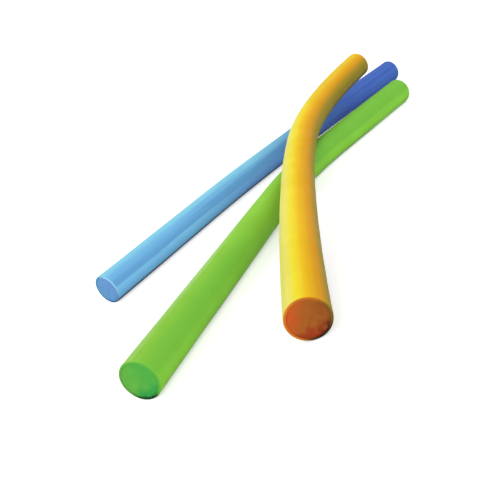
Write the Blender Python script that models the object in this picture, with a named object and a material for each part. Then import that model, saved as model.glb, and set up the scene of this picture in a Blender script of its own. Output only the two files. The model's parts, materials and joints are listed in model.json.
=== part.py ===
"""A set of three solid foam swimming noodles, lying as they were put down.

The green and the blue noodle lie flat. The yellow one stands on the lower rim of its
near end and climbs evenly to lie across the green one. Each noodle is a solid foam
core in a thin smooth skin, and the skin is rolled in over both rims of the core.
Metres, +Z up, the floor at zero, the origin below the middle of the set.
"""

import math

import bmesh
import bpy
import numpy as np
from mathutils import Vector

# Sizes of every noodle
NOODLE_DIAMETER = 0.0635
NOODLE_LENGTH = 1.219
SKIN_WALL = 0.0012
SKIN_CLEARANCE = 0.0003
CORE_SHOULDER_RADIUS = 0.0015
LIP_WIDTH = 0.001

# How near the yellow noodle lies to the green one that carries it
REST_CLEARANCE = 0.0003

# How fine the round and bent shapes are cut
SIDES = 24
SHOULDER_STEPS = 3
STRETCHES = 26
PATH_STEPS = 960
HALVINGS = 24
STEEPEST_CLIMB = 30.0
SMOOTH_ANGLE = 35.0

# Colours and surface of each piece: base colour, roughness, metallic
BLUE_SKIN_FINISH = ((0.13, 0.36, 0.70), 0.34, 0.0)
BLUE_CORE_FINISH = ((0.12, 0.30, 0.66), 0.80, 0.0)
GREEN_SKIN_FINISH = ((0.20, 0.56, 0.05), 0.34, 0.0)
GREEN_CORE_FINISH = ((0.09, 0.48, 0.07), 0.80, 0.0)
YELLOW_SKIN_FINISH = ((0.93, 0.62, 0.03), 0.34, 0.0)
YELLOW_CORE_FINISH = ((0.44, 0.13, 0.02), 0.80, 0.0)

# How the noodles lie. A near end is placed in shares of the noodle's length, right
# of and beyond the green near end. A heading is in degrees to the right of +Y. Each
# bend is an even arc: its share of the length, and its degrees to the right.
GREEN_NEAR_END_SHARES = (0.0, 0.0)
GREEN_HEADING = 30.5
GREEN_BEND_SHARES = ((0.50, 0.0), (0.25, 21.0), (0.25, 0.0))

BLUE_NEAR_END_SHARES = (-0.067, 0.414)
BLUE_HEADING = 45.5
BLUE_BEND_SHARES = ((0.25, -1.5), (0.25, 7.0), (0.50, 5.0))

YELLOW_NEAR_END_SHARES = (0.193, -0.060)
YELLOW_HEADING = 11.5
YELLOW_BEND_SHARES = ((0.40, 3.5), (0.20, 4.0), (0.40, 33.0))

# What follows from the sizes
NOODLE_RADIUS = NOODLE_DIAMETER / 2
CORE_RADIUS = NOODLE_RADIUS - SKIN_WALL - SKIN_CLEARANCE
SKIN_BORE_RADIUS = NOODLE_RADIUS - SKIN_WALL
BORE_SHOULDER_RADIUS = CORE_SHOULDER_RADIUS + SKIN_CLEARANCE
RIM_RADIUS = BORE_SHOULDER_RADIUS + SKIN_WALL
SIDE_ANGLE = 2 * math.pi / SIDES
# The skin's lip leaves a round opening at each end. The core's face fills it, flush
# with the lip, and the core is stepped down round that face to make room for the lip.
LIP_BORE_RADIUS = NOODLE_RADIUS - RIM_RADIUS - LIP_WIDTH
FACE_RADIUS = LIP_BORE_RADIUS - SKIN_CLEARANCE
STEP_DEPTH = SKIN_WALL + SKIN_CLEARANCE


def angle_at(arc_shares, share):
    """Radians turned at a share of the length, along arcs of even bend."""
    degrees = 0.0
    for arc_share, arc_degrees in arc_shares:
        done_share = min(share, arc_share)
        degrees += arc_degrees * done_share / arc_share
        share -= done_share
    return math.radians(degrees)


def shoulder(radius, from_end):
    """Profile of a rounded rim, from the end face to the side: distance, radius."""
    centre_radius = NOODLE_RADIUS - RIM_RADIUS
    points = []
    for index in range(SHOULDER_STEPS + 1):
        angle = math.pi / 2 * index / SHOULDER_STEPS
        inward = RIM_RADIUS - radius * math.cos(angle)
        distance = inward if from_end else NOODLE_LENGTH - inward
        points.append((distance, centre_radius + radius * math.sin(angle)))
    return points if from_end else points[::-1]


def standing_height(climb):
    """How high the middle of a near end is, with its rim or its underside on the floor."""
    flat = math.cos(SIDE_ANGLE / 2)
    return max(
        radius * flat * math.cos(climb) - distance * math.sin(climb)
        for distance, radius in shoulder(RIM_RADIUS, True)
    )


class Lie:
    """The line through the middle of a noodle, followed from its near end."""

    def __init__(self, near_end_shares, heading, bend_shares, climb=0.0):
        self.heading = math.radians(heading)
        self.bend_shares = bend_shares
        self.climb = math.radians(climb)
        right_share, beyond_share = near_end_shares
        height = standing_height(self.climb)
        place = Vector((right_share * NOODLE_LENGTH, beyond_share * NOODLE_LENGTH, height))
        step = NOODLE_LENGTH / PATH_STEPS
        self.points = [place]
        for index in range(PATH_STEPS):
            place = place + self.direction((index + 0.5) / PATH_STEPS) * step
            self.points.append(place)

    def direction(self, share):
        """The way the noodle runs at a share of its length."""
        turn = self.heading + angle_at(self.bend_shares, share)
        level = math.cos(self.climb)
        return Vector((math.sin(turn) * level, math.cos(turn) * level, math.sin(self.climb)))

    def point(self, share):
        """The middle of the noodle at a share of its length."""
        position = share * PATH_STEPS
        index = min(int(position), PATH_STEPS - 1)
        return self.points[index].lerp(self.points[index + 1], position - index)

    def section(self, distance, radius):
        """The corners of a cross-section there, with one flat facing straight down."""
        share = distance / NOODLE_LENGTH
        middle = self.point(share)
        ahead = self.direction(share)
        right = ahead.cross(Vector((0, 0, 1))).normalized()
        up = right.cross(ahead)
        corners = []
        for index in range(SIDES):
            angle = (index + 0.5) * SIDE_ANGLE
            out = right * math.sin(angle) + up * math.cos(angle)
            corners.append(middle + out * radius)
        return corners

    def shift(self, move):
        """Move the whole line."""
        self.points = [point + move for point in self.points]


def closest_distance(lie_a, lie_b):
    """The least distance between the middles of two noodles."""
    points_a = np.array([tuple(point) for point in lie_a.points])
    points_b = np.array([tuple(point) for point in lie_b.points])
    squares = sum(
        (points_a[:, None, axis] - points_b[None, :, axis]) ** 2 for axis in range(3)
    )
    return math.sqrt(squares.min())


def yellow_lie(climb):
    """The yellow noodle's line, for a climb in degrees."""
    return Lie(YELLOW_NEAR_END_SHARES, YELLOW_HEADING, YELLOW_BEND_SHARES, climb)


def rest_on(carrier):
    """The yellow noodle's line at the climb that just rests it on its carrier."""
    reach = NOODLE_DIAMETER + REST_CLEARANCE
    low, high = 0.0, STEEPEST_CLIMB
    for _ in range(HALVINGS):
        middle = (low + high) / 2
        if closest_distance(yellow_lie(middle), carrier) < reach:
            low = middle
        else:
            high = middle
    return yellow_lie(high)


def side(radius):
    """Profile of the long side between the two rims: distance, radius."""
    straight = NOODLE_LENGTH - 2 * RIM_RADIUS
    return [
        (RIM_RADIUS + straight * index / STRETCHES, radius)
        for index in range(1, STRETCHES)
    ]


def core_profile():
    """Profile of the core, from its near end face to its far one."""
    near_face = [(0.0, FACE_RADIUS), (STEP_DEPTH, FACE_RADIUS)]
    far_face = [(NOODLE_LENGTH - STEP_DEPTH, FACE_RADIUS), (NOODLE_LENGTH, FACE_RADIUS)]
    near_shoulder = shoulder(CORE_SHOULDER_RADIUS, True)
    far_shoulder = shoulder(CORE_SHOULDER_RADIUS, False)
    return near_face + near_shoulder + side(CORE_RADIUS) + far_shoulder + far_face


def skin_profile():
    """Closed profile of the skin: out along its outer face and back along its bore."""
    outside = shoulder(RIM_RADIUS, True) + side(NOODLE_RADIUS) + shoulder(RIM_RADIUS, False)
    bore = (
        shoulder(BORE_SHOULDER_RADIUS, True)
        + side(SKIN_BORE_RADIUS)
        + shoulder(BORE_SHOULDER_RADIUS, False)
    )
    near_lip = [(0.0, LIP_BORE_RADIUS)]
    far_lip = [(NOODLE_LENGTH, LIP_BORE_RADIUS), (NOODLE_LENGTH - SKIN_WALL, LIP_BORE_RADIUS)]
    return near_lip + outside + far_lip + bore[::-1] + [(SKIN_WALL, LIP_BORE_RADIUS)]


def bridge(mesh, ring_a, ring_b):
    """Join two cross-sections with a band of four-cornered faces."""
    for index in range(SIDES):
        before = index - 1
        mesh.faces.new((ring_a[before], ring_a[index], ring_b[index], ring_b[before]))


def loft(lie, profile, closed):
    """Carry a profile's cross-sections along a noodle's line into one closed mesh."""
    mesh = bmesh.new()
    rings = [
        [mesh.verts.new(corner) for corner in lie.section(distance, radius)]
        for distance, radius in profile
    ]
    for ring_a, ring_b in zip(rings, rings[1:]):
        bridge(mesh, ring_a, ring_b)
    if closed:
        bridge(mesh, rings[-1], rings[0])
    else:
        mesh.faces.new(rings[0][::-1])
        mesh.faces.new(rings[-1])
    return mesh


def make_finish(name, finish):
    """A piece's own plain material."""
    colour, roughness, metallic = finish
    material = bpy.data.materials.new(name)
    material.use_nodes = True
    shader = material.node_tree.nodes["Principled BSDF"]
    shader.inputs["Base Color"].default_value = (*colour, 1.0)
    shader.inputs["Roughness"].default_value = roughness
    shader.inputs["Metallic"].default_value = metallic
    return material


def add_piece(name, mesh, finish, parent):
    """Turn a finished mesh into a named object on its noodle's carrier."""
    data = bpy.data.meshes.new(name)
    mesh.to_mesh(data)
    mesh.free()
    data.shade_smooth()
    data.set_sharp_from_angle(angle=math.radians(SMOOTH_ANGLE))
    data.materials.append(make_finish(name, finish))
    piece = bpy.data.objects.new(name, data)
    bpy.context.collection.objects.link(piece)
    piece.parent = parent
    return piece


def add_noodle(name, lie, core_finish, skin_finish):
    """One noodle: its core and its skin, on an empty at the point it lifts by."""
    carrier = bpy.data.objects.new(name + "_noodle", None)
    bpy.context.collection.objects.link(carrier)
    carrier.location = lie.point(0.5)
    lie.shift(-carrier.location)
    add_piece(name + "_core", loft(lie, core_profile(), False), core_finish, carrier)
    add_piece(name + "_skin", loft(lie, skin_profile(), True), skin_finish, carrier)


def set_middle(lies):
    """The point on the floor below the middle of the set's outline."""
    corners = [
        corner
        for lie in lies
        for distance, radius in skin_profile()
        for corner in lie.section(distance, radius)
    ]
    lows = [min(corner[axis] for corner in corners) for axis in range(2)]
    highs = [max(corner[axis] for corner in corners) for axis in range(2)]
    return Vector(((lows[0] + highs[0]) / 2, (lows[1] + highs[1]) / 2, 0))


def main():
    """Build the set."""
    for item in list(bpy.data.objects):
        bpy.data.objects.remove(item)
    green = Lie(GREEN_NEAR_END_SHARES, GREEN_HEADING, GREEN_BEND_SHARES)
    blue = Lie(BLUE_NEAR_END_SHARES, BLUE_HEADING, BLUE_BEND_SHARES)
    yellow = rest_on(green)
    middle = set_middle((green, blue, yellow))
    for lie in (green, blue, yellow):
        lie.shift(-middle)
    add_noodle("green", green, GREEN_CORE_FINISH, GREEN_SKIN_FINISH)
    add_noodle("blue", blue, BLUE_CORE_FINISH, BLUE_SKIN_FINISH)
    add_noodle("yellow", yellow, YELLOW_CORE_FINISH, YELLOW_SKIN_FINISH)


main()
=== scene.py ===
"""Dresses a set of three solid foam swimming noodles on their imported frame.

Each noodle is a closed-cell foam core in a smooth skin. Both are modelled straight
along +X, given the slight unevenness of extruded foam, and then bent along the line in
which the noodle lies. Metres, +Z up, the floor at zero.
"""

import json
import logging
import math
from contextlib import contextmanager
from dataclasses import dataclass, field, replace
from enum import Enum
from typing import Callable, Iterator

import bmesh
import bpy
from mathutils import Matrix, Vector


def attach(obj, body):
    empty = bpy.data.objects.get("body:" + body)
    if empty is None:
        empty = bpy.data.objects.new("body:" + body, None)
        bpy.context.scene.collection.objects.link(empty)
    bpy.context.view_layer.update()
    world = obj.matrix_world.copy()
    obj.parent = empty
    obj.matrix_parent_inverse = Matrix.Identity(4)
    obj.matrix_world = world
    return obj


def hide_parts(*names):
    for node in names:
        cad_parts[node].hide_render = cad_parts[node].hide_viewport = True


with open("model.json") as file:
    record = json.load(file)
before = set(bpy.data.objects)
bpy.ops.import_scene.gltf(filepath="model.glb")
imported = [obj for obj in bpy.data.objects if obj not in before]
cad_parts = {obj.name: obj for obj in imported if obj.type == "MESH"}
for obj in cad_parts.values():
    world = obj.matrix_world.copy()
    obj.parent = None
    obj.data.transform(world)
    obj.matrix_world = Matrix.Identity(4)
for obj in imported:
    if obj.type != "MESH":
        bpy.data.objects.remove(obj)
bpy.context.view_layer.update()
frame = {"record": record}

LOG = logging.getLogger("noodles")

# Where the straight noodle's coordinates are kept once it is bent, for its patterns
STRAIGHT = "straight"

# Where a Mix node keeps its two colours and their mixture, among sockets of one name
MIX_COLOURS = (6, 7)
MIX_RESULT = 2

Test = Callable[[Vector, Vector], bool]
Colour = tuple[float, float, float]
Sockets = dict[str, bpy.types.NodeSocket]


class End(Enum):
    """The two ends of a straight noodle, by the way that each one faces along X."""

    NEAR = -1
    FAR = 1


@dataclass(frozen=True)
class NoodleSizes:
    """The sizes that all three noodles share."""

    diameter: float = 0.0635
    length: float = 1.219
    skin_wall: float = 0.0012
    clearance: float = 0.0003
    core_shoulder: float = 0.0015
    lip_width: float = 0.001

    @property
    def radius(self) -> float:
        """Outer radius of the skin."""
        return self.diameter / 2

    @property
    def core_radius(self) -> float:
        """Radius of the foam inside the skin."""
        return self.radius - self.skin_wall - self.clearance

    @property
    def rim_radius(self) -> float:
        """Radius at which the skin rolls in over the core's shoulder."""
        return self.core_shoulder + self.clearance + self.skin_wall

    @property
    def lip_bore(self) -> float:
        """Radius of the round opening that the lip leaves."""
        return self.radius - self.rim_radius - self.lip_width

    @property
    def face_radius(self) -> float:
        """Radius of the foam face that fills that opening."""
        return self.lip_bore - self.clearance

    @property
    def step_depth(self) -> float:
        """How deep the core is stepped down round its face, for the lip."""
        return self.skin_wall + self.clearance


@dataclass(frozen=True)
class Arc:
    """An even bend: its share of the noodle's length, and its degrees to the right."""

    share: float
    degrees: float


@dataclass(frozen=True)
class Lie:
    """The line through the middle of a noodle, from its near end."""

    start: Vector
    heading: float
    climb: float
    bends: tuple[Arc, ...]
    length: float
    steps: int = 480

    @classmethod
    def between_mounts(cls, noodle: str, bends: tuple[Arc, ...], length: float) -> "Lie":
        """Takes the line's start, heading and climb from the mounts on the two ends.

        Args:
            noodle: name of the noodle that the mounts are on.
            bends: the arcs that it is bent in.
            length: its length along the middle.

        Returns:
            The line.
        """
        mounts = {item["name"]: item for item in frame["record"]["mounts"]}
        near = mounts[noodle + "_near_end"]
        far = mounts[noodle + "_far_end"]
        inwards = -Vector(near["axis"])
        heading = math.atan2(inwards.x, inwards.y)
        lie = cls(Vector(near["pos_m"]), heading, math.asin(inwards.z), bends, length)
        miss = (lie.points()[-1] - Vector(far["pos_m"])).length
        LOG.info("%s: the line ends %.2f mm from its far mount", noodle, miss * 1000)
        return lie

    def direction(self, share: float) -> Vector:
        """The way the noodle runs at a share of its length."""
        turn = self.heading
        left = share
        for arc in self.bends:
            done = min(left, arc.share)
            turn += math.radians(arc.degrees) * done / arc.share
            left -= done
        level = math.cos(self.climb)
        return Vector((math.sin(turn) * level, math.cos(turn) * level, math.sin(self.climb)))

    def points(self) -> list[Vector]:
        """Evenly spaced points along the line, one more than its steps."""
        place = self.start.copy()
        places = [place]
        for index in range(self.steps):
            share = (index + 0.5) / self.steps
            place = place + self.direction(share) * (self.length / self.steps)
            places.append(place)
        return places

    def guide(self, name: str) -> bpy.types.Object:
        """Makes the curve that a straight piece is bent along.

        Args:
            name: name for the curve.

        Returns:
            The curve's object, to be removed once the piece is bent.
        """
        data = bpy.data.curves.new(name, "CURVE")
        data.dimensions = "3D"
        data.twist_mode = "Z_UP"
        spline = data.splines.new("POLY")
        places = self.points()
        spline.points.add(len(places) - 1)
        for point, place in zip(spline.points, places):
            point.co = (*place, 1)
        guide = bpy.data.objects.new(name, data)
        bpy.context.scene.collection.objects.link(guide)
        return guide


def select_only(piece: bpy.types.Object) -> None:
    """Makes a piece the only selected and active object."""
    bpy.ops.object.select_all(action="DESELECT")
    piece.select_set(True)
    bpy.context.view_layer.objects.active = piece


@contextmanager
def editing(piece: bpy.types.Object) -> Iterator[None]:
    """Holds a piece in edit mode, with nothing selected at the start."""
    select_only(piece)
    bpy.ops.object.mode_set(mode="EDIT")
    bpy.ops.mesh.select_all(action="DESELECT")
    yield
    bpy.ops.object.mode_set(mode="OBJECT")


def pick_faces(piece: bpy.types.Object, test: Test) -> None:
    """Selects, in edit mode, the faces that pass a test and nothing else.

    Args:
        piece: the object in edit mode.
        test: told a face's middle and normal, says whether to take it.
    """
    bpy.ops.mesh.select_all(action="DESELECT")
    bpy.ops.mesh.select_mode(type="FACE")
    mesh = bmesh.from_edit_mesh(piece.data)
    for face in mesh.faces:
        face.select = test(face.calc_center_median(), face.normal)
    bmesh.update_edit_mesh(piece.data)


def pick_edges(piece: bpy.types.Object, test: Test) -> None:
    """Selects, in edit mode, the edges that pass a test and nothing else.

    Args:
        piece: the object in edit mode.
        test: told an edge's two ends, says whether to take it.
    """
    bpy.ops.mesh.select_all(action="DESELECT")
    bpy.ops.mesh.select_mode(type="EDGE")
    mesh = bmesh.from_edit_mesh(piece.data)
    for edge in mesh.edges:
        edge.select = test(edge.verts[0].co, edge.verts[1].co)
    bmesh.update_edit_mesh(piece.data)


def apply_modifier(piece: bpy.types.Object, kind: str, **settings: object) -> None:
    """Adds one modifier to a piece and applies it at once.

    Args:
        piece: the object.
        kind: Blender's name for the modifier's type.
        settings: values for the modifier's own properties.
    """
    select_only(piece)
    modifier = piece.modifiers.new(kind.lower(), kind)
    for key, value in settings.items():
        setattr(modifier, key, value)
    bpy.ops.object.modifier_apply(modifier=modifier.name)


def remove_object(item: bpy.types.Object) -> None:
    """Removes a helper that has done its work."""
    bpy.data.objects.remove(item)


@dataclass
class Straight:
    """What the core and the skin of a noodle have in common while they are straight.

    The waves' height and length are those of the extruded foam, smooth_angle is the
    sharpest fold that is still shaded smooth, and two places count as one when they
    lie nearer than near.
    """

    noodle: str
    sizes: NoodleSizes
    lie: Lie
    sides: int = 96
    rounding: int = 6
    wave_height: float = 0.0007
    wave_length: float = 0.07
    wave_offset: float = 0.0
    smooth_angle: float = 40.0
    near: float = 0.00003

    def rod(self, name: str, radius: float, start: float, stop: float) -> bpy.types.Object:
        """Adds a round rod along +X.

        Args:
            name: name for the rod.
            radius: its radius.
            start: where it starts.
            stop: where it stops.

        Returns:
            The rod, with its place in its mesh.
        """
        bpy.ops.object.select_all(action="DESELECT")
        bpy.ops.mesh.primitive_cylinder_add(
            vertices=self.sides,
            radius=radius,
            depth=stop - start,
            location=((start + stop) / 2, 0, 0),
            rotation=(0, math.pi / 2, 0),
        )
        piece = bpy.context.active_object
        piece.name = name
        piece.data.name = name
        bpy.ops.object.transform_apply(location=True, rotation=True, scale=True)
        return piece

    def round_rims(self, piece: bpy.types.Object, radius: float) -> None:
        """Rounds both end rims of a rod.

        Args:
            piece: the rod, straight along +X.
            radius: radius of the rounding.
        """
        ends = [corner[0] for corner in piece.bound_box]
        low, high = min(ends) + self.near, max(ends) - self.near
        with editing(piece):
            pick_edges(piece, lambda a, b: max(a.x, b.x) < low or min(a.x, b.x) > high)
            bpy.ops.mesh.bevel(
                offset=radius, segments=self.rounding, affect="EDGES", clamp_overlap=False
            )

    def pick_end(self, piece: bpy.types.Object, end: End) -> None:
        """Selects the flat face at one end of a piece in edit mode."""
        mesh = bmesh.from_edit_mesh(piece.data)
        furthest = max(vert.co.x * end.value for vert in mesh.verts)
        pick_faces(
            piece,
            lambda middle, normal: middle.x * end.value > furthest - self.near
            and Vector((middle.y, middle.z)).length < self.near,
        )

    def divide(self, piece: bpy.types.Object, cuts: tuple[int, ...]) -> None:
        """Divides the long side of a rod into equal stretches, one pass after another.

        Args:
            piece: the rod, straight along +X.
            cuts: how many cuts each pass makes in every stretch.
        """
        with editing(piece):
            for count in cuts:
                # Edges along the rod that are longer than any in the rims
                pick_edges(
                    piece,
                    lambda a, b: abs(a.x - b.x) > self.sizes.rim_radius
                    and abs(a.y - b.y) < self.sizes.clearance
                    and abs(a.z - b.z) < self.sizes.clearance,
                )
                bpy.ops.mesh.subdivide(number_cuts=count)

    def uneven(self, piece: bpy.types.Object) -> None:
        """Gives a straight piece the long, low waves of extruded foam."""
        place = bpy.data.objects.new("waves", None)
        place.location = (self.wave_offset, 0, 0)
        bpy.context.scene.collection.objects.link(place)
        waves = bpy.data.textures.new("waves", "CLOUDS")
        waves.noise_scale = self.wave_length
        apply_modifier(
            piece,
            "DISPLACE",
            texture=waves,
            texture_coords="OBJECT",
            texture_coords_object=place,
            strength=self.wave_height,
            mid_level=0.5,
        )
        bpy.data.textures.remove(waves)
        remove_object(place)

    def keep_straight_places(self, piece: bpy.types.Object) -> None:
        """Keeps each point's place on the straight noodle, for the materials."""
        places = [0.0] * (3 * len(piece.data.vertices))
        piece.data.vertices.foreach_get("co", places)
        kept = piece.data.attributes.new(STRAIGHT, "FLOAT_VECTOR", "POINT")
        kept.data.foreach_set("vector", places)

    def bend(self, piece: bpy.types.Object) -> None:
        """Bends a straight piece along its line and presses it flat on the floor."""
        guide = self.lie.guide(piece.name + "_guide")
        apply_modifier(piece, "CURVE", object=guide, deform_axis="POS_X")
        remove_object(guide)
        with editing(piece):
            bpy.ops.mesh.select_mode(type="VERT")
            mesh = bmesh.from_edit_mesh(piece.data)
            for vert in mesh.verts:
                vert.select = vert.co.z < 0
            bmesh.update_edit_mesh(piece.data)
            if any(vert.select for vert in mesh.verts):
                bpy.ops.transform.resize(value=(1, 1, 0), center_override=(0, 0, 0))

    def finish(self, piece: bpy.types.Object, node: str, slot: str) -> None:
        """Shades a bent piece and puts it in its CAD node's stead.

        Args:
            piece: the finished piece.
            node: the CAD node that it stands for.
            slot: the record's material slot; not used.
        """
        select_only(piece)
        bpy.ops.object.shade_smooth_by_angle(angle=math.radians(self.smooth_angle))
        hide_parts(node)
        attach(piece, self.noodle + "_noodle")
        LOG.info(
            "%s: %d faces, reaches %s",
            piece.name,
            len(piece.data.polygons),
            [round(side, 4) for side in piece.dimensions],
        )


@dataclass
class Skin(Straight):
    """The thin smooth skin, rolled in over both rims to a narrow lip."""

    cuts: tuple[int, ...] = (15, 15)

    def build(self) -> bpy.types.Object:
        """Models the skin straight, bends it and puts it in its node's stead."""
        sizes = self.sizes
        skin = self.rod(self.noodle + "_satin_skin", sizes.radius, 0, sizes.length)
        self.round_rims(skin, sizes.rim_radius)
        with editing(skin):
            for end in End:
                self.pick_end(skin, end)
                bpy.ops.mesh.inset(thickness=sizes.lip_width)
                bpy.ops.mesh.delete(type="FACE")
        self.divide(skin, self.cuts)
        self.keep_straight_places(skin)
        self.uneven(skin)
        apply_modifier(
            skin, "SOLIDIFY", thickness=sizes.skin_wall, offset=-1, use_even_offset=True
        )
        self.bend(skin)
        self.finish(skin, self.noodle + "_skin", self.noodle + "_skin")
        return skin


@dataclass
class Core(Straight):
    """The solid foam core, with a crowned face at each end that fills the skin's lip."""

    cuts: tuple[int, ...] = (15, 3)
    face_rings: int = 9
    face_crown: float = 0.0006
    edge_rounding: float = 0.0004

    def build(self) -> bpy.types.Object:
        """Models the core straight, bends it and puts it in its node's stead."""
        sizes = self.sizes
        core = self.rod(
            self.noodle + "_foam_core",
            sizes.core_radius,
            sizes.step_depth,
            sizes.length - sizes.step_depth,
        )
        self.round_rims(core, sizes.core_shoulder)
        for end in End:
            self.raise_face(core, end)
        self.divide(core, self.cuts)
        self.keep_straight_places(core)
        self.uneven(core)
        self.bend(core)
        self.finish(core, self.noodle + "_core", self.noodle + "_foam")
        return core

    def raise_face(self, core: bpy.types.Object, end: End) -> None:
        """Raises one end's face out of its step and crowns it a little.

        Args:
            core: the core, straight along +X.
            end: the end to work on.
        """
        sizes = self.sizes
        shoulder_edge = sizes.core_radius - sizes.core_shoulder
        rise = sizes.step_depth - self.face_crown
        with editing(core):
            self.pick_end(core, end)
            bpy.ops.mesh.inset(thickness=shoulder_edge - sizes.face_radius)
            # The new faces' order repeats in each run, which an extrusion's doesn't
            bpy.ops.mesh.inset(thickness=0)
            bpy.ops.transform.translate(value=(rise * end.value, 0, 0))
            # The edge is broken by a slope half as high as it is wide
            bpy.ops.mesh.inset(thickness=self.edge_rounding)
            out = self.edge_rounding / 2
            bpy.ops.transform.translate(value=(out * end.value, 0, 0))
            width = (sizes.face_radius - self.edge_rounding) / (self.face_rings + 0.5)
            left = self.face_crown - out
            # The rings are of one width, and half as much is left in the middle. Each
            # rises less than the one outside it, so that the face is a dome
            for ring in range(self.face_rings):
                share = (2 * (self.face_rings - ring) - 1) / self.face_rings**2
                bpy.ops.mesh.inset(thickness=width)
                bpy.ops.transform.translate(value=(left * share * end.value, 0, 0))


class NodeGroup:
    """A shader node group under construction, with its sockets at hand."""

    def __init__(self, name: str, inputs: dict[str, str], outputs: dict[str, str]) -> None:
        """Starts a group.

        Args:
            name: name of the group.
            inputs: socket type of each input, by name.
            outputs: socket type of each output, by name.
        """
        self.tree = bpy.data.node_groups.new(name, "ShaderNodeTree")
        for side, sockets in (("INPUT", inputs), ("OUTPUT", outputs)):
            for socket, kind in sockets.items():
                self.tree.interface.new_socket(name=socket, in_out=side, socket_type=kind)
        self.given = self.tree.nodes.new("NodeGroupInput").outputs
        self.result = self.tree.nodes.new("NodeGroupOutput").inputs


def add_node(
    tree: bpy.types.NodeTree, kind: str, inputs: dict[str, object], **settings: object
) -> bpy.types.Node:
    """Adds a node, sets its properties and fills its inputs.

    Args:
        tree: the material's or the group's node tree.
        kind: Blender's name for the node.
        inputs: for each input, by name or number, a value or the socket that feeds it.
        settings: values for the node's own properties.

    Returns:
        The node.
    """
    node = tree.nodes.new(kind)
    for key, value in settings.items():
        setattr(node, key, value)
    for key, value in inputs.items():
        if isinstance(value, bpy.types.NodeSocket):
            tree.links.new(value, node.inputs[key])
        else:
            node.inputs[key].default_value = value
    return node


def add_math(
    tree: bpy.types.NodeTree, operation: str, first: object, second: object
) -> bpy.types.NodeSocket:
    """Adds a Math node and returns its output."""
    node = add_node(tree, "ShaderNodeMath", {0: first, 1: second}, operation=operation)
    return node.outputs[0]


def add_range(
    tree: bpy.types.NodeTree,
    value: object,
    low: object,
    high: object,
    start: float,
    stop: float,
) -> bpy.types.NodeSocket:
    """Adds a smooth, clamped Map Range node.

    Args:
        tree: the node tree.
        value: the socket to map.
        low: the value that gives the start, or the socket that feeds it.
        high: the value that gives the stop, or the socket that feeds it.
        start: what comes out at low.
        stop: what comes out at high.

    Returns:
        The mapped value's socket.
    """
    inputs = {
        "Value": value,
        "From Min": low,
        "From Max": high,
        "To Min": start,
        "To Max": stop,
    }
    node = add_node(tree, "ShaderNodeMapRange", inputs, interpolation_type="SMOOTHSTEP")
    return node.outputs["Result"]


def add_mix(
    tree: bpy.types.NodeTree, share: object, first: object, second: object
) -> bpy.types.NodeSocket:
    """Adds a colour Mix node.

    Args:
        tree: the node tree.
        share: how much of the second colour to take.
        first: the colour at a share of zero.
        second: the colour at a share of one.

    Returns:
        The mixed colour's socket.
    """
    node = add_node(tree, "ShaderNodeMix", {"Factor": share}, data_type="RGBA")
    for index, value in zip(MIX_COLOURS, (first, second)):
        if isinstance(value, bpy.types.NodeSocket):
            tree.links.new(value, node.inputs[index])
        else:
            node.inputs[index].default_value = (*value, 1)
    return node.outputs[MIX_RESULT]


@dataclass(frozen=True)
class CellEffect:
    """Closed foam cells, whose domes and walls reach so far in shares of a cell."""

    randomness: float = 0.9
    dome_reach: float = 0.7
    wall_reach: float = 0.12

    def build(self) -> bpy.types.NodeTree:
        """Makes the group.

        Returns:
            The group, with inputs Vector, Size and Stretch, outputs Height and Walls.
        """
        group = NodeGroup(
            "closed_cells",
            {
                "Vector": "NodeSocketVector",
                "Size": "NodeSocketFloat",
                "Stretch": "NodeSocketFloat",
            },
            {"Height": "NodeSocketFloat", "Walls": "NodeSocketFloat"},
        )
        tree = group.tree
        along = add_math(tree, "DIVIDE", 1.0, group.given["Stretch"])
        scale = add_node(tree, "ShaderNodeCombineXYZ", {"X": along, "Y": 1.0, "Z": 1.0})
        place = add_node(
            tree,
            "ShaderNodeVectorMath",
            {0: group.given["Vector"], 1: scale.outputs[0]},
            operation="MULTIPLY",
        )
        density = add_math(tree, "DIVIDE", 1.0, group.given["Size"])
        middles, edges = (
            add_node(
                tree,
                "ShaderNodeTexVoronoi",
                {
                    "Vector": place.outputs[0],
                    "Scale": density,
                    "Randomness": self.randomness,
                },
                feature=feature,
            ).outputs["Distance"]
            for feature in ("SMOOTH_F1", "DISTANCE_TO_EDGE")
        )
        domed = add_range(tree, middles, 0.0, self.dome_reach, 1.0, 0.0)
        walls = add_range(tree, edges, 0.0, self.wall_reach, 1.0, 0.0)
        tree.links.new(domed, group.result["Height"])
        tree.links.new(walls, group.result["Walls"])
        return tree


@dataclass(frozen=True)
class DriftEffect:
    """Slow drift of shade over the foam, with faint streaks along the extrusion.

    Streaks are noise drawn out along the noodle, and low and high are the values of
    the noise that give no shade and full shade.
    """

    patch_detail: float = 3.0
    streak_detail: float = 4.0
    drawing_out: float = 0.03
    low: float = 0.3
    high: float = 0.7

    def build(self) -> bpy.types.NodeTree:
        """Makes the group.

        Returns:
            The group, with inputs Vector, Patch and Streak, outputs Shade and Streaks.
        """
        group = NodeGroup(
            "extrusion_drift",
            {
                "Vector": "NodeSocketVector",
                "Patch": "NodeSocketFloat",
                "Streak": "NodeSocketFloat",
            },
            {"Shade": "NodeSocketFloat", "Streaks": "NodeSocketFloat"},
        )
        tree = group.tree
        place = group.given["Vector"]
        drawn = add_node(
            tree,
            "ShaderNodeVectorMath",
            {0: place, 1: (self.drawing_out, 1.0, 1.0)},
            operation="MULTIPLY",
        )
        for given, vector, detail, result in (
            ("Patch", place, self.patch_detail, "Shade"),
            ("Streak", drawn.outputs[0], self.streak_detail, "Streaks"),
        ):
            density = add_math(tree, "DIVIDE", 1.0, group.given[given])
            noise = add_node(
                tree,
                "ShaderNodeTexNoise",
                {"Vector": vector, "Scale": density, "Detail": detail},
            ).outputs["Fac"]
            shade = add_range(tree, noise, self.low, self.high, 0.0, 1.0)
            tree.links.new(shade, group.result[result])
        return tree


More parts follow.
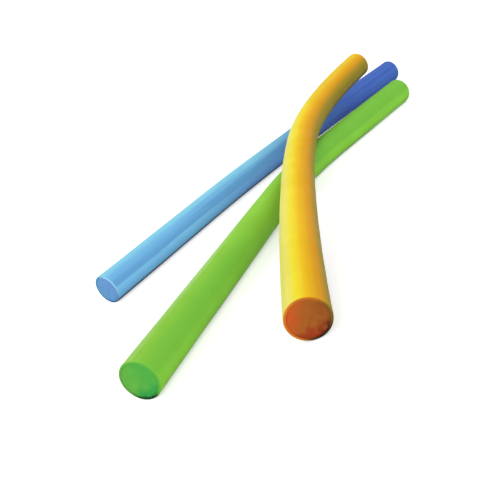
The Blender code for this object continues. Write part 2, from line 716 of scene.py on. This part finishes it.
def make_rim_mask() -> bpy.types.NodeTree:
    """Marks a band near the outside of the noodle's round section.

    Returns:
        The group, with inputs Vector, Inner and Outer, output Outside, which is 1
        from the outer radius outwards and 0 from the inner radius inwards.
    """
    group = NodeGroup(
        "rim_mask",
        {"Vector": "NodeSocketVector", "Inner": "NodeSocketFloat", "Outer": "NodeSocketFloat"},
        {"Outside": "NodeSocketFloat"},
    )
    tree = group.tree
    flat = add_node(
        tree,
        "ShaderNodeVectorMath",
        {0: group.given["Vector"], 1: (0.0, 1.0, 1.0)},
        operation="MULTIPLY",
    )
    radius = add_node(
        tree, "ShaderNodeVectorMath", {0: flat.outputs[0]}, operation="LENGTH"
    ).outputs["Value"]
    outside = add_range(tree, radius, group.given["Inner"], group.given["Outer"], 0.0, 1.0)
    tree.links.new(outside, group.result["Outside"])
    return tree


def make_wash() -> bpy.types.NodeTree:
    """Marks what lies far enough along one direction.

    Returns:
        The group, with inputs Vector, Direction, Waver, Start and Full, output Share,
        which is 0 up to the start and 1 from where the wash is full.
    """
    group = NodeGroup(
        "wash",
        {
            "Vector": "NodeSocketVector",
            "Direction": "NodeSocketVector",
            "Waver": "NodeSocketFloat",
            "Start": "NodeSocketFloat",
            "Full": "NodeSocketFloat",
        },
        {"Share": "NodeSocketFloat"},
    )
    tree = group.tree
    far = add_node(
        tree,
        "ShaderNodeVectorMath",
        {0: group.given["Vector"], 1: group.given["Direction"]},
        operation="DOT_PRODUCT",
    ).outputs["Value"]
    wavering = add_math(tree, "ADD", far, group.given["Waver"])
    share = add_range(tree, wavering, group.given["Start"], group.given["Full"], 0.0, 1.0)
    tree.links.new(share, group.result["Share"])
    return tree


@dataclass(frozen=True)
class EffectGroups:
    """The node groups that the finishes share."""

    cells: bpy.types.NodeTree
    drift: bpy.types.NodeTree
    rim: bpy.types.NodeTree
    wash: bpy.types.NodeTree

    @classmethod
    def build(cls) -> "EffectGroups":
        """Makes each group once."""
        return cls(
            CellEffect().build(), DriftEffect().build(), make_rim_mask(), make_wash()
        )


class Way(Enum):
    """What a wash of colour is measured along."""

    ACROSS = "radius"
    ALONG = "length"


@dataclass(frozen=True)
class Wash:
    """A soft wash of another colour over part of a noodle; most washes paint light or shade
    onto it.

    A wash across the noodle comes in towards one side, in degrees left of straight
    up. It starts and is full at shares of the radius from the middle, and its edge
    wavers unless it is told not to. A wash along the noodle starts and is full at
    shares of the length from the near end.
    """

    colour: Colour
    start: float
    full: float
    towards: float = 0.0
    way: Way = Way.ACROSS
    wavers: bool = True

    def direction(self, sizes: NoodleSizes) -> Vector:
        """The way it is measured: along, or towards a side in degrees left of up."""
        if self.way is Way.ALONG:
            return Vector((1, 0, 0)) / sizes.length
        turn = math.radians(self.towards)
        return Vector((0, math.sin(turn), math.cos(turn))) / sizes.radius


@dataclass(frozen=True)
class Grain:
    """The foam's cells and its drift of shade, as they show in one finish."""

    cell: float
    stretch: float
    patch: float
    streak: float
    cell_height: float
    streak_height: float = 0.0


class Surface:
    """A material under construction, read from the straight noodle's coordinates."""

    def __init__(self, name: str, sizes: NoodleSizes, groups: EffectGroups) -> None:
        """Starts the material.

        Args:
            name: its name.
            sizes: the noodle's sizes, which its patterns are measured in.
            groups: the shared node groups.
        """
        self.sizes = sizes
        self.groups = groups
        self.material = bpy.data.materials.new(name)
        self.material.use_nodes = True
        self.tree = self.material.node_tree
        self.shader = self.tree.nodes["Principled BSDF"].inputs
        place = add_node(self.tree, "ShaderNodeAttribute", {}, attribute_name=STRAIGHT)
        self.place = place.outputs["Vector"]

    def use(self, group: bpy.types.NodeTree, **values: object) -> Sockets:
        """Puts a shared group into the material.

        Args:
            group: the shared group.
            values: for each input besides the place, a value or a socket to feed it.

        Returns:
            The group's outputs by name.
        """
        node = add_node(self.tree, "ShaderNodeGroup", {}, node_tree=group)
        for name, value in {"Vector": self.place, **values}.items():
            if isinstance(value, bpy.types.NodeSocket):
                self.tree.links.new(value, node.inputs[name])
            else:
                node.inputs[name].default_value = value
        return {socket.name: socket for socket in node.outputs}

    def use_grain(self, grain: Grain) -> tuple[Sockets, Sockets]:
        """Puts in the cells and the drift of one grain."""
        cells = self.use(self.groups.cells, Size=grain.cell, Stretch=grain.stretch)
        drift = self.use(self.groups.drift, Patch=grain.patch, Streak=grain.streak)
        return cells, drift

    def math(self, operation: str, first: object, second: object) -> bpy.types.NodeSocket:
        """One Math node's output."""
        return add_math(self.tree, operation, first, second)

    def washed(
        self, colour: Colour, washes: tuple[Wash, ...], waver: bpy.types.NodeSocket
    ) -> object:
        """Lays washes in turn over a colour, most of them painted light and shade.

        Args:
            colour: the colour below them.
            washes: the washes.
            waver: the socket that says how far the edges that waver are moved.

        Returns:
            The colour, or the socket that gives it.
        """
        for wash in washes:
            share = self.use(
                self.groups.wash,
                Direction=wash.direction(self.sizes),
                Waver=waver if wash.wavers and wash.way is Way.ACROSS else 0.0,
                Start=wash.start,
                Full=wash.full,
            )["Share"]
            colour = add_mix(self.tree, share, colour, wash.colour)
        return colour

    def lay_bump(self, height: bpy.types.NodeSocket) -> None:
        """Feeds a height in metres into the shader's normal."""
        bump = add_node(
            self.tree, "ShaderNodeBump", {"Height": height, "Strength": 1.0, "Distance": 1.0}
        )
        self.tree.links.new(bump.outputs["Normal"], self.shader["Normal"])

    def lay_roughness(self, drift: object, middle: float, spread: float) -> None:
        """Lets the roughness drift evenly about its middle value."""
        rough = add_range(self.tree, drift, 0.0, 1.0, middle - spread, middle + spread)
        self.tree.links.new(rough, self.shader["Roughness"])


@dataclass(frozen=True)
class Finish:
    """What the finishes of skin and foam have in common: a colour, and washes over it, most of
    them painted light and shade.
    """

    name: str
    colour: Colour
    washes: tuple[Wash, ...]
    waver: float

    def wavering(self, surface: Surface, shade: bpy.types.NodeSocket) -> bpy.types.NodeSocket:
        """How far the washes' edges are moved, from a shade that drifts from 0 to 1."""
        return surface.math("MULTIPLY", surface.math("SUBTRACT", shade, 0.5), self.waver)


@dataclass(frozen=True, kw_only=True)
class SkinFinish(Finish):
    """The satin skin: dyed foam with faint cells and streaks, its rims rolled in, with painted
    light and shade washed over the dye.
    """

    lip_colour: Colour
    lip_washes: tuple[Wash, ...]
    streak_colour: Colour
    streaking: float = 0.25
    mottling: float = 0.13
    darkening: float = 0.5
    patch_weight: float = 0.6
    wall_weight: float = 0.4
    roughness: float = 0.58
    roughness_drift: float = 0.07
    specular: float = 0.06
    lip_inner: float = 0.45
    lip_outer: float = 0.0
    grain: Grain = Grain(
        cell=0.0016,
        stretch=1.6,
        patch=0.05,
        streak=0.006,
        cell_height=0.00016,
        streak_height=0.00006,
    )

    def build(self, sizes: NoodleSizes, groups: EffectGroups) -> bpy.types.Material:
        """Makes the material.

        Args:
            sizes: the noodle's sizes, for the place of the rims.
            groups: the shared node groups.

        Returns:
            The material.
        """
        surface = Surface(self.name, sizes, groups)
        tree = surface.tree
        cells, drift = surface.use_grain(self.grain)
        rim = surface.use(
            groups.rim,
            Inner=sizes.radius - self.lip_inner * sizes.rim_radius,
            Outer=sizes.radius - self.lip_outer * sizes.rim_radius,
        )["Outside"]

        waver = self.wavering(surface, drift["Streaks"])
        even = surface.washed(self.colour, self.washes, waver)
        streaks = surface.math("MULTIPLY", drift["Streaks"], self.streaking)
        streaked = add_mix(tree, streaks, even, self.streak_colour)
        shade = surface.math("MULTIPLY", drift["Shade"], self.patch_weight)
        walls = surface.math("MULTIPLY", cells["Walls"], self.wall_weight)
        depth = surface.math("ADD", shade, walls)
        darker = tuple(part * self.darkening for part in self.colour)
        mottled = surface.math("MULTIPLY", depth, self.mottling)
        side = add_mix(tree, mottled, streaked, darker)
        lip = surface.washed(self.lip_colour, self.lip_washes, waver)
        tree.links.new(add_mix(tree, rim, lip, side), surface.shader["Base Color"])

        surface.lay_roughness(depth, self.roughness, self.roughness_drift)
        dimples = surface.math("MULTIPLY", cells["Height"], self.grain.cell_height)
        ridges = surface.math("MULTIPLY", drift["Streaks"], self.grain.streak_height)
        surface.lay_bump(surface.math("ADD", dimples, ridges))
        surface.shader["Specular IOR Level"].default_value = self.specular
        return surface.material


@dataclass(frozen=True, kw_only=True)
class FoamFinish(Finish):
    """The cut foam at the ends: matt, with open cells whose pits are painted darker in
    patches, as painted shade in the recesses.
    """

    pit_shade_colour: Colour
    pit_depth: float = 0.55
    pit_ground: float = 0.3
    pit_drift: float = 0.5
    roughness: float = 0.82
    roughness_drift: float = -0.09
    specular: float = 0.15
    grain: Grain = Grain(
        cell=0.0013, stretch=1.3, patch=0.012, streak=0.004, cell_height=0.00018
    )

    def build(self, sizes: NoodleSizes, groups: EffectGroups) -> bpy.types.Material:
        """Makes the material.

        Args:
            sizes: the noodle's sizes, which the washes are measured in.
            groups: the shared node groups.

        Returns:
            The material.
        """
        surface = Surface(self.name, sizes, groups)
        tree = surface.tree
        cells, drift = surface.use_grain(self.grain)

        waver = self.wavering(surface, drift["Shade"])
        even = surface.washed(self.colour, self.washes, waver)
        # Painted shade: the pits inside the cell walls are darkened, more in some patches than
        # in others
        pits = add_range(tree, cells["Walls"], 0.0, 1.0, self.pit_depth, 0.0)
        patchy = surface.math("MULTIPLY", drift["Shade"], self.pit_drift)
        depth = surface.math("MULTIPLY", pits, surface.math("ADD", patchy, self.pit_ground))
        pit_shaded = add_mix(tree, depth, even, self.pit_shade_colour)
        tree.links.new(pit_shaded, surface.shader["Base Color"])

        surface.lay_roughness(cells["Walls"], self.roughness, self.roughness_drift)
        surface.lay_bump(surface.math("MULTIPLY", cells["Walls"], self.grain.cell_height))
        surface.shader["Specular IOR Level"].default_value = self.specular
        return surface.material


@dataclass
class Noodle:
    """One noodle of the set: its skin and its core, and what they are finished in."""

    name: str
    bends: tuple[Arc, ...]
    skin_finish: SkinFinish
    foam_finish: FoamFinish
    wave_offset: float
    sizes: NoodleSizes = field(default_factory=NoodleSizes)

    def build(self, groups: EffectGroups) -> None:
        """Builds and dresses both pieces.

        Args:
            groups: the shared node groups.
        """
        lie = Lie.between_mounts(self.name, self.bends, self.sizes.length)
        core = Core(self.name, self.sizes, lie, wave_offset=self.wave_offset).build()
        self.dress(core, self.foam_finish.build(self.sizes, groups))
        skin = Skin(self.name, self.sizes, lie, wave_offset=self.wave_offset).build()
        self.dress(skin, self.skin_finish.build(self.sizes, groups))

    def dress(self, piece: bpy.types.Object, material: bpy.types.Material) -> None:
        """Gives a piece its one material."""
        piece.data.materials.clear()
        piece.data.materials.append(material)


@dataclass(frozen=True)
class Lamp:
    """A broad, even studio light, as seen from the set."""

    name: str
    azimuth: float
    elevation: float
    spread: float
    strength: float

    def build(self) -> None:
        """Adds the light, shining from its azimuth (0 is +Y, 90 is +X) and elevation."""
        data = bpy.data.lights.new(self.name, "SUN")
        data.energy = self.strength
        data.angle = math.radians(self.spread)
        lamp = bpy.data.objects.new(self.name, data)
        turn = math.radians(self.azimuth)
        rise = math.radians(self.elevation)
        level = math.cos(rise)
        source = Vector((math.sin(turn) * level, math.cos(turn) * level, math.sin(rise)))
        lamp.rotation_euler = source.to_track_quat("Z", "Y").to_euler()
        bpy.context.scene.collection.objects.link(lamp)


@dataclass(frozen=True)
class Viewpoint:
    """The photograph's viewpoint: place, tilt down, roll, and lens on a 36 mm sensor."""

    place: tuple[float, float, float] = (-0.1695, -1.4875, 0.3905)
    pitch: float = 17.10
    roll: float = -27.35
    lens: float = 50.72
    nearest: float = 0.01

    def build(self) -> None:
        """Adds the camera and makes it the scene's."""
        tilt = math.radians(self.pitch)
        roll = math.radians(self.roll)
        forward = Vector((0, math.cos(tilt), -math.sin(tilt)))
        level_up = Vector((0, math.sin(tilt), math.cos(tilt)))
        level_right = Vector((1, 0, 0))
        right = level_right * math.cos(roll) + level_up * math.sin(roll)
        up = level_up * math.cos(roll) - level_right * math.sin(roll)
        data = bpy.data.cameras.new("viewpoint")
        data.lens = self.lens
        data.clip_start = self.nearest
        camera = bpy.data.objects.new("viewpoint", data)
        turn = Matrix((right, up, -forward)).transposed()
        camera.matrix_world = Matrix.Translation(self.place) @ turn.to_4x4()
        bpy.context.scene.collection.objects.link(camera)
        bpy.context.scene.camera = camera


@dataclass(frozen=True)
class Studio:
    """The white floor, the world and the lights."""

    floor_reach: float = 60.0
    floor_white: float = 0.85
    floor_lift: float = 0.50
    floor_bounce: float = 0.60
    sky_light: float = 0.40
    lamps: tuple[Lamp, ...] = (
        Lamp("key_light", azimuth=-72, elevation=46, spread=50, strength=1.10),
        Lamp("front_light", azimuth=172, elevation=30, spread=70, strength=1.27),
        Lamp("right_light", azimuth=110, elevation=30, spread=70, strength=0.80),
    )

    def build(self) -> None:
        """Sets up everything round the noodles."""
        self.lay_floor()
        self.light_world()
        for lamp in self.lamps:
            lamp.build()
        bpy.context.scene.view_settings.view_transform = "Standard"

    def seen_directly(self, tree: bpy.types.NodeTree) -> bpy.types.NodeSocket:
        """1 for rays of the camera, of reflections and through glass, and 0 for others."""
        path = add_node(tree, "ShaderNodeLightPath", {})
        either = add_math(
            tree, "MAXIMUM", path.outputs["Is Camera Ray"], path.outputs["Is Glossy Ray"]
        )
        return add_math(tree, "MAXIMUM", either, path.outputs["Is Transmission Ray"])

    def lay_floor(self) -> None:
        """Lays a white floor, which looks whiter than the light that it throws back."""
        bpy.ops.object.select_all(action="DESELECT")
        bpy.ops.mesh.primitive_plane_add(size=self.floor_reach)
        floor = bpy.context.active_object
        floor.name = "floor"
        material = bpy.data.materials.new("floor_white")
        material.use_nodes = True
        tree = material.node_tree
        tree.nodes.clear()
        white = (self.floor_white,) * 3 + (1,)
        shown = add_node(tree, "ShaderNodeBsdfDiffuse", {"Color": white})
        lift = add_node(
            tree,
            "ShaderNodeEmission",
            {"Color": (1, 1, 1, 1), "Strength": self.floor_lift},
        )
        lifted = add_node(
            tree, "ShaderNodeAddShader", {0: shown.outputs[0], 1: lift.outputs[0]}
        )
        grey = (self.floor_bounce,) * 3 + (1,)
        bounced = add_node(tree, "ShaderNodeBsdfDiffuse", {"Color": grey})
        choice = add_node(
            tree,
            "ShaderNodeMixShader",
            {0: self.seen_directly(tree), 1: bounced.outputs[0], 2: lifted.outputs[0]},
        )
        add_node(tree, "ShaderNodeOutputMaterial", {"Surface": choice.outputs[0]})
        floor.data.materials.append(material)

    def light_world(self) -> None:
        """A world that looks white and lights the noodles softly from all sides."""
        world = bpy.data.worlds.new("studio")
        world.use_nodes = True
        tree = world.node_tree
        shade = add_math(
            tree,
            "ADD",
            self.sky_light,
            add_math(tree, "MULTIPLY", self.seen_directly(tree), 1 - self.sky_light),
        )
        tree.links.new(shade, tree.nodes["Background"].inputs["Strength"])
        tree.nodes["Background"].inputs["Color"].default_value = (1, 1, 1, 1)
        bpy.context.scene.world = world


BLUE_BENDS = (Arc(0.25, -1.5), Arc(0.25, 7.0), Arc(0.50, 5.0))
GREEN_BENDS = (Arc(0.50, 0.0), Arc(0.25, 21.0), Arc(0.25, 0.0))
YELLOW_BENDS = (Arc(0.40, 3.5), Arc(0.20, 4.0), Arc(0.40, 33.0))

# The sides of a noodle that washes come in towards, in degrees left of straight up: what
# the photograph shows as its left edge and its right one where it runs away, aslant or
# across, and the part of its underside that shows
AWAY_LEFT, AWAY_RIGHT = 68, -112
ASLANT_LEFT, ASLANT_RIGHT = 29, -151
ACROSS_LEFT, ACROSS_RIGHT = 17, -163
# Washes towards the underside paint shade on it
UNDERSIDE = -165

GREEN_SKIN = SkinFinish(
    "green_satin",
    colour=(0.205, 0.57, 0.057),
    washes=(
        # Painted light: lighter and yellower towards the upper left, and a pale painted
        # highlight along that edge
        Wash((0.27, 0.60, 0.058), 0.1, 0.75, ASLANT_LEFT),
        Wash((0.50, 0.77, 0.27), 0.74, 1.04, ASLANT_LEFT),
        # Painted light: lighter along the stretch where the yellow noodle shades it, then a
        # slightly darker green from halfway on
        Wash((0.31, 0.69, 0.064), 0.22, 0.42, way=Way.ALONG),
        Wash((0.185, 0.52, 0.057), 0.50, 0.64, way=Way.ALONG),
        # Painted light: lighter on the right side; painted shade: darker on the underside
        Wash((0.31, 0.77, 0.069), 0.22, 0.86, ASLANT_RIGHT),
        Wash((0.08, 0.26, 0.04), 0.90, 1.0, UNDERSIDE),
    ),
    waver=0.15,
    lip_colour=(0.14, 0.53, 0.065),
    lip_washes=(
        # An olive tint on the lip towards the left; painted shade: near-black at the bottom
        Wash((0.22, 0.45, 0.07), 0.45, 0.85, towards=95),
        Wash((0.005, 0.04, 0.012), 0.58, 0.88, towards=172),
    ),
    streak_colour=(0.21, 0.56, 0.05),
)
GREEN_FOAM = FoamFinish(
    "green_cut_foam",
    colour=(0.19, 0.65, 0.085),
    washes=(
        # Painted shade: deeper green towards the right and the bottom, near-black at the
        # bottom
        Wash((0.12, 0.61, 0.085), -0.5, 0.5, towards=-80),
        Wash((0.03, 0.48, 0.10), 0.15, 0.85, towards=-175),
        Wash((0.01, 0.10, 0.03), 0.74, 0.96, towards=172),
    ),
    waver=0.15,
    pit_shade_colour=(0.08, 0.46, 0.06),
)
BLUE_SKIN = SkinFinish(
    "blue_satin",
    colour=(0.235, 0.61, 1.0),
    washes=(
        # Painted shade: a deeper blue from a fifth of the length on
        Wash((0.19, 0.44, 1.0), 0.20, 0.50, way=Way.ALONG),
        # Darker across the middle, lighter towards the upper left and a pale cyan painted
        # highlight along that edge: the lighter side is painted light
        Wash((0.14, 0.39, 0.76), -0.40, -0.10, ACROSS_LEFT),
        Wash((0.17, 0.47, 0.84), 0.05, 0.35, ACROSS_LEFT),
        Wash((0.26, 0.68, 0.86), 0.35, 0.85, ACROSS_LEFT),
        # Painted shade: a thin near-black line along the lower edge on the right
        Wash((0.006, 0.02, 0.06), 0.87, 0.93, ACROSS_RIGHT, wavers=False),
        # Painted shade: deep navy over the far part of the length
        Wash((0.048, 0.105, 0.46), 0.42, 0.80, way=Way.ALONG),
    ),
    waver=0.28,
    lip_colour=(0.12, 0.34, 0.62),
    lip_washes=(
        # Painted highlight on the lip towards the upper right; painted shade towards the lower
        # left
        Wash((0.34, 0.72, 0.95), 0.3, 0.8, towards=-55),
        Wash((0.06, 0.14, 0.30), 0.2, 0.9, towards=150),
    ),
    streak_colour=(0.16, 0.40, 0.80),
    streaking=0.15,
    grain=replace(SkinFinish.grain, streak=0.011),
)
BLUE_FOAM = FoamFinish(
    "blue_cut_foam",
    colour=(0.19, 0.50, 0.88),
    washes=(Wash((0.22, 0.44, 0.93), -0.6, 0.7, towards=-60),),
    waver=0.9,
    pit_shade_colour=(0.10, 0.30, 0.70),
)
YELLOW_SKIN = SkinFinish(
    "yellow_satin",
    colour=(0.91, 0.55, 0.011),
    washes=(
        # Painted light: lemon towards the left and lower left, and a pale lemon painted
        # highlight along the left edge
        Wash((0.93, 0.82, 0.035), -0.08, 0.48, AWAY_LEFT),
        Wash((0.92, 0.88, 0.18), 0.36, 0.80, AWAY_LEFT),
        Wash((0.93, 0.80, 0.035), 0.15, 0.50, towards=152),
        # Over the last third of the length the painted lemon gives way to a deeper yellow
        Wash((0.84, 0.57, 0.03), 0.67, 0.86, way=Way.ALONG),
        # Painted shade: orange towards the right, brown at the right edge, olive-brown and
        # near-black on the underside
        Wash((0.73, 0.31, 0.010), -0.15, 0.7, AWAY_RIGHT),
        Wash((0.43, 0.28, 0.028), 0.60, 0.96, AWAY_RIGHT),
        Wash((0.27, 0.21, 0.022), -0.16, 0.66, towards=-150),
        Wash((0.035, 0.05, 0.014), 0.78, 0.94, towards=-155),
    ),
    waver=0.10,
    lip_colour=(0.57, 0.17, 0.020),
    lip_washes=(
        # Painted light on the lip towards the left; painted shade: dark brown towards the
        # right and near-black on the underside
        Wash((0.80, 0.22, 0.026), 0.0, 0.8, towards=80),
        Wash((0.24, 0.13, 0.02), 0.2, 0.8, AWAY_RIGHT),
        Wash((0.03, 0.012, 0.008), 0.50, 0.95, UNDERSIDE),
    ),
    streak_colour=(0.86, 0.49, 0.014),
    streaking=0.12,
)
YELLOW_FOAM = FoamFinish(
    "yellow_cut_foam",
    colour=(0.55, 0.16, 0.022),
    washes=(
        # Painted light: bright orange-red towards the left; painted shade: darker towards the
        # right, deep red towards the bottom and near-black towards the lower right
        Wash((0.92, 0.145, 0.022), 0.05, 0.85, towards=60),
        Wash((0.44, 0.125, 0.020), 0.0, 0.6, AWAY_RIGHT),
        Wash((0.50, 0.06, 0.014), 0.30, 0.65, towards=175),
        Wash((0.08, 0.020, 0.010), 0.50, 1.0, towards=-150),
    ),
    waver=0.30,
    pit_shade_colour=(0.34, 0.08, 0.014),
    grain=replace(FoamFinish.grain, patch=0.009),
)

NOODLES = (
    Noodle("green", GREEN_BENDS, GREEN_SKIN, GREEN_FOAM, wave_offset=0.0),
    Noodle("blue", BLUE_BENDS, BLUE_SKIN, BLUE_FOAM, wave_offset=3.1),
    Noodle("yellow", YELLOW_BENDS, YELLOW_SKIN, YELLOW_FOAM, wave_offset=6.2),
)


def main() -> None:
    """Builds the studio and the three noodles."""
    logging.basicConfig(level=logging.INFO, format="%(message)s")
    Viewpoint().build()
    Studio().build()
    groups = EffectGroups.build()
    for noodle in NOODLES:
        noodle.build(groups)
        LOG.info("%s noodle is built", noodle.name)


if __name__ == "__main__":
    main()
